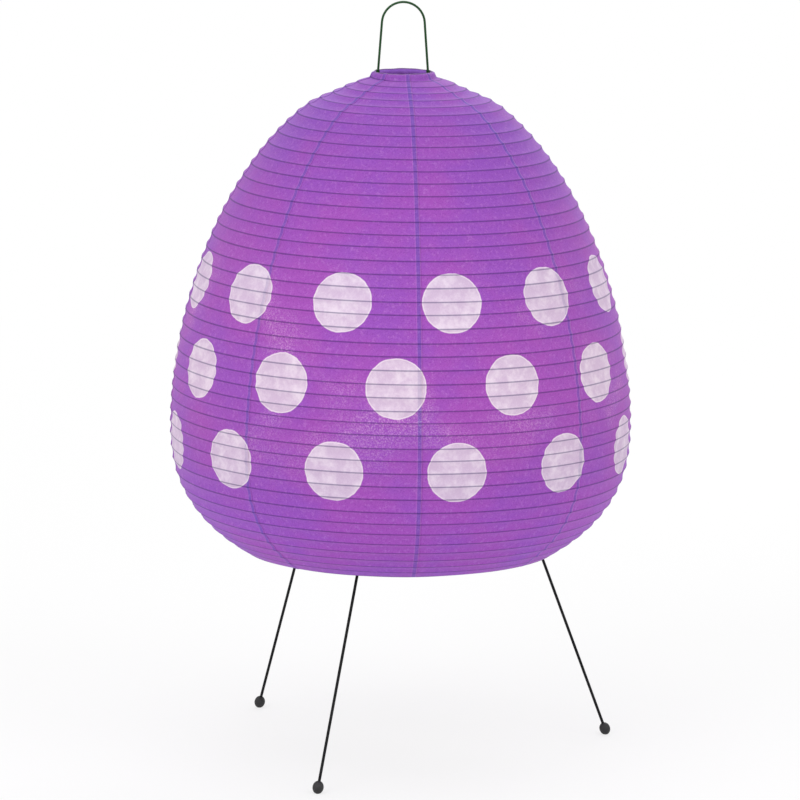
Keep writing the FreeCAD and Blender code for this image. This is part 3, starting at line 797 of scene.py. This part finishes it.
@dataclass
class PaperPanels:
    """The paper of the shade: equal gores, drawn in between the ribs and lapped along their edges."""

    outline: ShadeOutline
    count: int = 8
    sag: float = 1.4 * MM
    lap: float = 5.6 * MM
    lead_turns: float = 0.0025
    lift: float = 0.35 * MM
    lift_span: Span = (0.0, 0.34)
    thickness: float = 0.3 * MM
    fade_turns: float = 2.0
    spare_turns: int = 2
    slack_turns: float = 1e-4
    weld: float = 0.02 * MM
    rows_per_rib: int = 9
    columns: int = 26
    lap_columns: int = 4

    def sheet(self, graph: PieceTree, rows: int) -> Tuple[Socket, Socket, Socket]:
        """Add the flat grid that a gore is bent from.

        Args:
            graph: the tree.
            rows: how many rows of points it has.

        Returns:
            The grid, and the shares of the way across it and up it.
        """
        grid = graph.node("GeometryNodeMeshGrid", {
            "Size X": 1.0,
            "Size Y": 1.0,
            "Vertices X": self.columns,
            "Vertices Y": rows,
        })
        cell = graph.split(graph.node("GeometryNodeInputPosition").outputs[0])
        return grid.outputs["Mesh"], graph.add(cell[0], 0.5), graph.add(cell[1], 0.5)

    def folds(self, graph: PieceTree, phase: Socket, arc: Socket, length: Socket) -> Socket:
        """Depth of the paper between the ribs: a bow in every pitch, fading towards the rims.

        Args:
            graph: the tree.
            phase: rib turns at the point, whole on a rib.
            arc: arc length from the bottom rim.
            length: arc length from rim to rim.

        Returns:
            The depth inside the outline.
        """
        shape = self.outline
        bow = graph.math("FRACT", phase)
        hang = graph.times(graph.times(bow, graph.subtract(1.0, bow)), UNIT_BOW)
        ribbed = graph.times(graph.math("GREATER_THAN", phase, 1.0 - self.slack_turns),
                             graph.math("LESS_THAN", phase, shape.rib_turns + self.slack_turns))
        near = graph.math("MINIMUM", arc, graph.subtract(length, arc))
        fade = graph.math("MINIMUM", graph.over(near, self.fade_turns * shape.rib_pitch), 1.0)
        return graph.times(graph.times(hang, graph.given["Sag"]), graph.times(ribbed, fade))

    def tree(self) -> PieceTree:
        """Build the gore's geometry tree.

        Returns:
            The tree.
        """
        shape = self.outline
        turns = shape.rib_turns + 2 * self.spare_turns
        graph = PieceTree("PaperGore", {
            "Start Turn": 0.0,
            "Sweep Turns": 1.0 / self.count,
            "Sag": self.sag,
            "Lap": self.lap,
            "Lift": self.lift,
        })
        given = graph.given
        curve = shape.curve(graph)
        length = graph.node("GeometryNodeCurveLength", {0: curve}).outputs[0]
        sheet, across, upward = self.sheet(graph, turns * self.rows_per_rib + 1)

        lap_share = (self.lap_columns - 1) / (self.columns - 1)
        main = graph.math("MINIMUM", graph.over(across, 1.0 - lap_share), 1.0)
        past = graph.over(graph.subtract(across, 1.0 - lap_share), lap_share)
        lapped = graph.math("MAXIMUM", past, 0.0)
        turn = graph.add(given["Start Turn"], graph.times(main, given["Sweep Turns"]))
        phase = graph.add(graph.times(upward, float(turns)), 1.0 - self.spare_turns)
        free = shape.wound(graph, graph.subtract(phase, turn))
        arc = graph.math("MAXIMUM", graph.math("MINIMUM", free, length), 0.0)

        raised = graph.times(graph.ramp(lapped, *self.lift_span), given["Lift"])
        depth = graph.subtract(self.folds(graph, phase, arc, length), raised)
        radius, height = shape.sample(graph, curve, arc, depth)
        beyond = graph.over(graph.times(lapped, given["Lap"]), radius)
        angle = graph.add(graph.add(graph.times(turn, math.tau), shape.seam_azimuth), beyond)

        round_turn = graph.add(turn, graph.over(beyond, math.tau))
        marks = {"arc": arc, "turn": round_turn, "reach": radius, "rib_phase": phase, "lap": lapped}
        for label, value in marks.items():
            stored = {"Geometry": sheet, "Name": label, "Value": value}
            sheet = graph.node("GeometryNodeStoreNamedAttribute", stored, data_type="FLOAT",
                               domain="POINT").outputs[0]
        bent = graph.move(sheet, graph.polar(radius, angle, height))
        merged = graph.node("GeometryNodeMergeByDistance", {"Geometry": bent, "Distance": self.weld})
        smooth = graph.node("GeometryNodeSetShadeSmooth", {"Geometry": merged.outputs[0]})
        graph.close(smooth.outputs[0])
        return graph

    def build(self, material: bpy.types.Material) -> List[bpy.types.Object]:
        """Make every gore as a plain mesh riding on the root.

        Args:
            material: the paper's material.

        Returns:
            The gores.
        """
        tree = self.tree()
        panels = []
        for number in range(1, self.count + 1):
            panel = tree.make("paper_panel_%d" % number, {
                "Start Turn": (number - 1) / self.count - self.lead_turns,
                "Material": material,
            })
            wall = panel.modifiers.new("Wall", "SOLIDIFY")
            wall.thickness = self.thickness
            wall.offset = -1.0
            bake_down(panel)
            hand_over(panel, "paper_gore_%d" % number)
            panels.append(panel)
        return panels


@dataclass
class RibSpiral:
    """The bamboo rib: one splint wound from the bottom hoop to the top hoop."""

    outline: ShadeOutline
    wire: float = 1.6 * MM
    depth: float = 1.75 * MM
    points_per_turn: int = 64
    sides: int = 8

    def build(self, material: bpy.types.Material) -> bpy.types.Object:
        """Make the rib as a plain mesh riding on the root.

        Args:
            material: the bamboo's material.

        Returns:
            The rib.
        """
        shape = self.outline
        graph = PieceTree("RibSpiral", {
            "Turns": float(shape.rib_turns),
            "Wire Radius": self.wire / 2,
            "Depth": self.depth,
        })
        turns = graph.times(graph.along(), graph.given["Turns"])
        radius, height = shape.sample(graph, shape.curve(graph), shape.wound(graph, turns),
                                      graph.given["Depth"])
        angle = graph.subtract(shape.seam_azimuth, graph.times(turns, math.tau))
        line = graph.path(shape.rib_turns * self.points_per_turn + 1)
        coil = graph.move(line, graph.polar(radius, angle, height))
        graph.close(graph.tube(coil, graph.given["Wire Radius"], self.sides))
        rib = graph.make("bamboo_rib", {"Material": material})
        hand_over(rib, "spiral_rib")
        return rib


@dataclass
class RimBinding:
    """The finished edge of a mouth: a thin cord along the paper's edge and the strip turned in behind.

    The cord's middle lies cord_in inside the paper's edge and cord_rise above it. The strip stands
    strip_in inside the cord's middle, over strip_rise above the paper's edge.
    """

    name: str
    rim_radius: float
    rim_height: float
    cord_in: float
    cord_rise: float
    strip_in: float
    strip_rise: Span
    cord: float = 0.7 * MM
    cord_waver: float = 0.18 * MM
    strip: float = 0.35 * MM
    strip_waver: float = 0.1 * MM
    waves: Tuple[Tuple[float, int, float], ...] = ((1.0, 5, 0.6), (0.6, 11, 2.1))
    sideways: float = 0.4
    segments: int = 144
    sides: int = 12

    def ring(self, mesh: bmesh.types.BMesh, profile: Sequence[Span], index: int, waver: float) -> None:
        """Sweep a closed profile round the axis.

        Args:
            mesh: the mesh to add to.
            profile: radius and height of each corner, anticlockwise.
            index: material index of the new faces.
            waver: size of the hand-made unevenness.
        """
        loops = []
        for step in range(self.segments):
            angle = math.tau * step / self.segments
            shift = waver * sum(size * math.sin(rate * angle + start) for size, rate, start in self.waves)
            corners = [(radius + self.sideways * shift, height + shift) for radius, height in profile]
            loops.append([mesh.verts.new((far * math.cos(angle), far * math.sin(angle), level))
                          for far, level in corners])
        count = len(profile)
        for step in range(self.segments):
            here, ahead = loops[step], loops[(step + 1) % self.segments]
            for corner in range(count):
                after = (corner + 1) % count
                face = mesh.faces.new((here[corner], ahead[corner], ahead[after], here[after]))
                face.material_index = index
                face.smooth = True

    def build(self, cord: bpy.types.Material, paper: bpy.types.Material) -> bpy.types.Object:
        """Make the binding as one mesh riding on the root.

        Args:
            cord: the edge cord's material.
            paper: the turned-in strip's material.

        Returns:
            The binding.
        """
        piece = new_piece(self.name)
        piece.data.materials.append(cord)
        piece.data.materials.append(paper)
        mesh = bmesh.new()
        middle = self.rim_radius - self.cord_in
        level = self.rim_height + self.cord_rise
        turns = [math.tau * step / self.sides for step in range(self.sides)]
        self.ring(mesh, [(middle + self.cord * math.cos(turn), level + self.cord * math.sin(turn))
                         for turn in turns], 0, self.cord_waver)
        outer = middle - self.strip_in
        inner = outer - self.strip
        low, high = (self.rim_height + rise for rise in self.strip_rise)
        self.ring(mesh, [(inner, low), (outer, low), (outer, high), (inner, high)], 1, self.strip_waver)
        bmesh.ops.recalc_face_normals(mesh, faces=mesh.faces)
        mesh.to_mesh(piece.data)
        mesh.free()
        hand_over(piece)
        return piece


@dataclass
class HandleWraps:
    """A few turns of thin wire round each upright of the stretcher, where it leaves the top mouth."""

    outline: ShadeOutline
    stretcher: bpy.types.Object
    drop: float = 1.5 * MM
    wire: float = 0.9 * MM
    core: float = 2.4 * MM
    turns: float = 3.5
    rise: float = 3.4 * MM
    reach: float = 0.6 * MM
    points_per_turn: int = 24
    sides: int = 10

    @property
    def level(self) -> float:
        """Height of the wraps' lower end, just inside the mouth."""
        return self.outline.top_height - self.drop

    def upright(self, side: int) -> Vector:
        """Middle of one upright near the rim.

        Args:
            side: 1 for the right upright, -1 for the left one.

        Returns:
            The point, at the wraps' level.
        """
        spots = [vertex.co for vertex in self.stretcher.data.vertices if vertex.co.x * side > 0]
        above = min(spot.z for spot in spots if spot.z > self.level)
        below = max(spot.z for spot in spots if spot.z < self.level)
        upper, lower = (self.middle(spots, height) for height in (above, below))
        return lower.lerp(upper, (self.level - lower.z) / (upper.z - lower.z))

    def middle(self, spots: Sequence[Vector], height: float) -> Vector:
        """Middle of the ring of points at a height."""
        ring = [spot for spot in spots if abs(spot.z - height) < self.reach]
        return sum(ring, Vector()) / len(ring)

    def build(self, material: bpy.types.Material) -> List[bpy.types.Object]:
        """Make both wraps as plain meshes riding on the root.

        Args:
            material: the wire's material.

        Returns:
            The two wraps.
        """
        graph = PieceTree("HandleWrap", {"Turns": self.turns, "Rise": self.rise}, ("Place",))
        middle = (self.core + self.wire) / 2
        coil = graph.node("GeometryNodeCurveSpiral", {
            "Resolution": self.points_per_turn,
            "Rotations": graph.given["Turns"],
            "Start Radius": middle,
            "End Radius": middle,
            "Height": graph.given["Rise"],
        })
        tube = graph.tube(coil.outputs[0], self.wire / 2, self.sides)
        place = graph.given["Place"]
        moved = graph.node("GeometryNodeTransform", {"Geometry": tube, "Translation": place})
        graph.close(moved.outputs[0])
        wraps = []
        for number, side in enumerate((1, -1), 1):
            wrap = graph.make("handle_wrap_%d" % number, {
                "Place": self.upright(side),
                "Material": material,
            })
            hand_over(wrap)
            wraps.append(wrap)
        return wraps


def aimed(name: str, data: bpy.types.ID, place: Vector, target: Vector,
          roll: float = 0.0) -> bpy.types.Object:
    """Link a light or camera that faces a target.

    Args:
        name: the object's name.
        data: its light or camera.
        place: where it stands.
        target: what it faces.
        roll: turn about its line of sight.

    Returns:
        The object.
    """
    item = bpy.data.objects.new(name, data)
    bpy.context.scene.collection.objects.link(item)
    turn = (target - place).to_track_quat("-Z", "Y").to_matrix().to_4x4()
    item.matrix_world = Matrix.Translation(place) @ turn @ Matrix.Rotation(roll, 4, "Z")
    return item


@dataclass(frozen=True)
class LightPanel:
    """A square soft light that faces the lamp."""

    name: str
    place: Point
    width: float
    power: float
    aim: Point = (0.0, 0.0, 0.42)

    def build(self) -> None:
        """Add the panel to the scene."""
        data = bpy.data.lights.new(self.name, "AREA")
        data.size = self.width
        data.energy = self.power
        aimed(self.name, data, Vector(self.place), Vector(self.aim))


@dataclass
class Studio:
    """Plain pale floor, soft light and a camera at the photograph's angle."""

    distance: float = 5.188
    elevation: float = math.radians(9.63)
    roll: float = math.radians(0.386)
    target: Point = (-0.0008, 0.0, 0.3682)
    lens: float = 224.3
    sensor: float = 36.0
    clip_end: float = 200.0
    surround: float = 0.65
    floor_size: float = 80.0
    floor_fade: Span = (0.7, 3.0)
    floor_shown: float = 0.72
    floor_colour: Colour = (0.9, 0.9, 0.9)
    floor_roughness: float = 0.9
    panels: Tuple[LightPanel, ...] = (
        LightPanel("key_panel", (-2.2, -3.0, 2.6), 2.4, 47.0),
        LightPanel("fill_panel", (2.3, -2.0, 2.8), 2.2, 27.0),
        LightPanel("back_panel", (0.6, 3.0, 2.6), 2.4, 40.0),
        LightPanel("top_panel", (-0.4, -0.5, 3.4), 2.0, 15.0),
    )

    def camera(self) -> bpy.types.Object:
        """Set the camera.

        Returns:
            The camera object.
        """
        data = bpy.data.cameras.new("photo_camera")
        data.lens = self.lens
        data.sensor_width = self.sensor
        data.clip_end = self.clip_end
        target = Vector(self.target)
        back = Vector((0.0, -math.cos(self.elevation), math.sin(self.elevation)))
        item = aimed("photo_camera", data, target + back * self.distance, target, self.roll)
        bpy.context.scene.camera = item
        return item

    def lights(self) -> None:
        """Add the soft panels and the white surround."""
        for panel in self.panels:
            panel.build()
        world = bpy.data.worlds.new("white_surround")
        bpy.context.scene.world = world
        world.use_nodes = True
        graph = Graph(world.node_tree)
        sky = world.node_tree.nodes["Background"]
        graph.feed(sky, {
            "Color": (1.0, 1.0, 1.0, 1.0),
            "Strength": self.seen(graph, self.surround, 1.0),
        })

    @staticmethod
    def seen(graph: Graph, lit: float, shown: float) -> Socket:
        """A value that is one number as light and another where it is seen.

        Args:
            graph: the graph to add it to.
            lit: the value as light.
            shown: the value to the eye, in a mirror or through glass.

        Returns:
            The value's socket.
        """
        path = graph.node("ShaderNodeLightPath")
        seen = graph.math("MAXIMUM", path.outputs["Is Camera Ray"], path.outputs["Is Glossy Ray"])
        seen = graph.math("MAXIMUM", seen, path.outputs["Is Transmission Ray"])
        return graph.add(graph.times(seen, shown - lit), lit)

    def floor(self) -> bpy.types.Object:
        """Lay the floor: white to the eye, with the lamp's soft shadow.

        Returns:
            The floor.
        """
        floor = new_piece("pale_floor")
        half = self.floor_size / 2
        corners = [(-half, -half, 0), (half, -half, 0), (half, half, 0), (-half, half, 0)]
        floor.data.from_pydata(corners, [], [(0, 1, 2, 3)])
        material, graph, shader = new_material("pale_floor")
        graph.feed(shader, {
            "Base Color": (*self.floor_colour, 1.0),
            "Roughness": self.floor_roughness,
            "Specular IOR Level": 0.0,
        })
        glow = graph.node("ShaderNodeEmission", {"Strength": 1.0})
        place = graph.split(graph.objects())
        far = graph.ramp(graph.length(place[0], place[1]), *self.floor_fade)
        share = graph.add(graph.times(far, 1.0 - self.floor_shown), self.floor_shown)
        mix = graph.node("ShaderNodeMixShader", {
            0: graph.times(self.seen(graph, 0.0, 1.0), share),
            1: shader.outputs[0],
            2: glow.outputs[0],
        })
        graph.feed(material.node_tree.nodes["Material Output"], {"Surface": mix.outputs[0]})
        floor.data.materials.append(material)
        return floor


@dataclass
class CarriedNodes:
    """The CAD pieces that stay, each dressed by its record slot."""

    finishes: Dict[Slot, Finish] = field(default_factory=lambda: {
        Slot.HOOP: Finish("hoop_wire", (0.10, 0.05, 0.13), (0.16, 0.08, 0.20), 0.55),
        Slot.STRETCHER: Finish("green_enamel", (0.012, 0.055, 0.014), (0.022, 0.082, 0.024), 0.52,
                               gloss=0.2),
        Slot.FRAME: Finish("black_enamel", (0.010, 0.010, 0.011), (0.018, 0.017, 0.017), 0.45),
        Slot.STEEL: Finish("zinc_plate", (0.56, 0.56, 0.58), (0.46, 0.46, 0.47), 0.34, metallic=1.0,
                           grain=900.0, stretch=DRAWN),
        Slot.LEG: Finish("leg_enamel", (0.004, 0.004, 0.005), (0.009, 0.009, 0.009), 0.50, gloss=0.15),
        Slot.RUBBER: Finish("moulded_rubber", (0.012, 0.012, 0.013), (0.024, 0.023, 0.025), 0.62,
                            relief=0.15),
        Slot.HOLDER: Finish("thermoset", (0.014, 0.013, 0.013), (0.022, 0.020, 0.019), 0.40),
        Slot.CERAMIC: Finish("porcelain", (0.80, 0.78, 0.73), (0.72, 0.70, 0.64), 0.22, coat=0.4),
        Slot.BRASS: Finish("drawn_brass", (0.72, 0.50, 0.20), (0.58, 0.38, 0.14), 0.32, metallic=1.0,
                           grain=900.0, stretch=DRAWN),
        Slot.CAP: Finish("nickel_plate", (0.70, 0.68, 0.64), (0.60, 0.58, 0.54), 0.28, metallic=1.0,
                         grain=900.0),
        Slot.INSULATOR: Finish("black_glass", (0.008, 0.008, 0.009), (0.014, 0.014, 0.015), 0.12),
        Slot.GLASS: Finish("opal_glass", (0.90, 0.86, 0.80), (0.86, 0.82, 0.76), 0.25, emission=6.0),
    })

    def dress(self, nodes: Dict[str, bpy.types.Object],
              subparts: Sequence[dict]) -> Dict[Slot, bpy.types.Material]:
        """Give every node that stays its finish.

        Args:
            nodes: the frame's objects by node name.
            subparts: the record's nodes with their slots.

        Returns:
            The materials by slot.
        """
        built = {slot: finish.build() for slot, finish in self.finishes.items()}
        for entry in subparts:
            slot = Slot(entry["material_slot"])
            if slot not in built:
                continue
            item = nodes[entry["node"]]
            item.data.materials.clear()
            item.data.materials.append(built[slot])
            LOG.info("%s: %s", entry["node"], slot.value)
        return built


def main() -> None:
    """Build the lamp piece by piece."""
    logging.basicConfig(level=logging.INFO, format="%(name)s %(message)s")
    bpy.context.scene.view_settings.view_transform = "Standard"
    studio = Studio()
    studio.camera()
    studio.lights()
    studio.floor()
    outline = ShadeOutline()
    PaperPanels(outline).build(PaperFinish().build())
    RibSpiral(outline).build(BAMBOO.build())
    edges = (EDGE_CORD.build(), GLOWING_EDGE_STRIP.build())
    RimBinding("top_binding", outline.top_rim_radius, outline.top_height,
               cord_in=0.2 * MM, cord_rise=-0.1 * MM,
               strip_in=0.5 * MM, strip_rise=(-5.5 * MM, -0.3 * MM)).build(*edges)
    RimBinding("bottom_binding", outline.bottom_rim_radius, outline.rim_height,
               cord_in=0.4 * MM, cord_rise=0.4 * MM,
               strip_in=2.4 * MM, strip_rise=(0.6 * MM, 7 * MM)).build(*edges)
    built = CarriedNodes().dress(frame["nodes"], frame["record"]["subparts"])
    wraps = HandleWraps(outline, frame["nodes"]["stretcher_wire"])
    wraps.build(built[Slot.STRETCHER])
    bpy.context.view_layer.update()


if __name__ == "__main__":
    main()
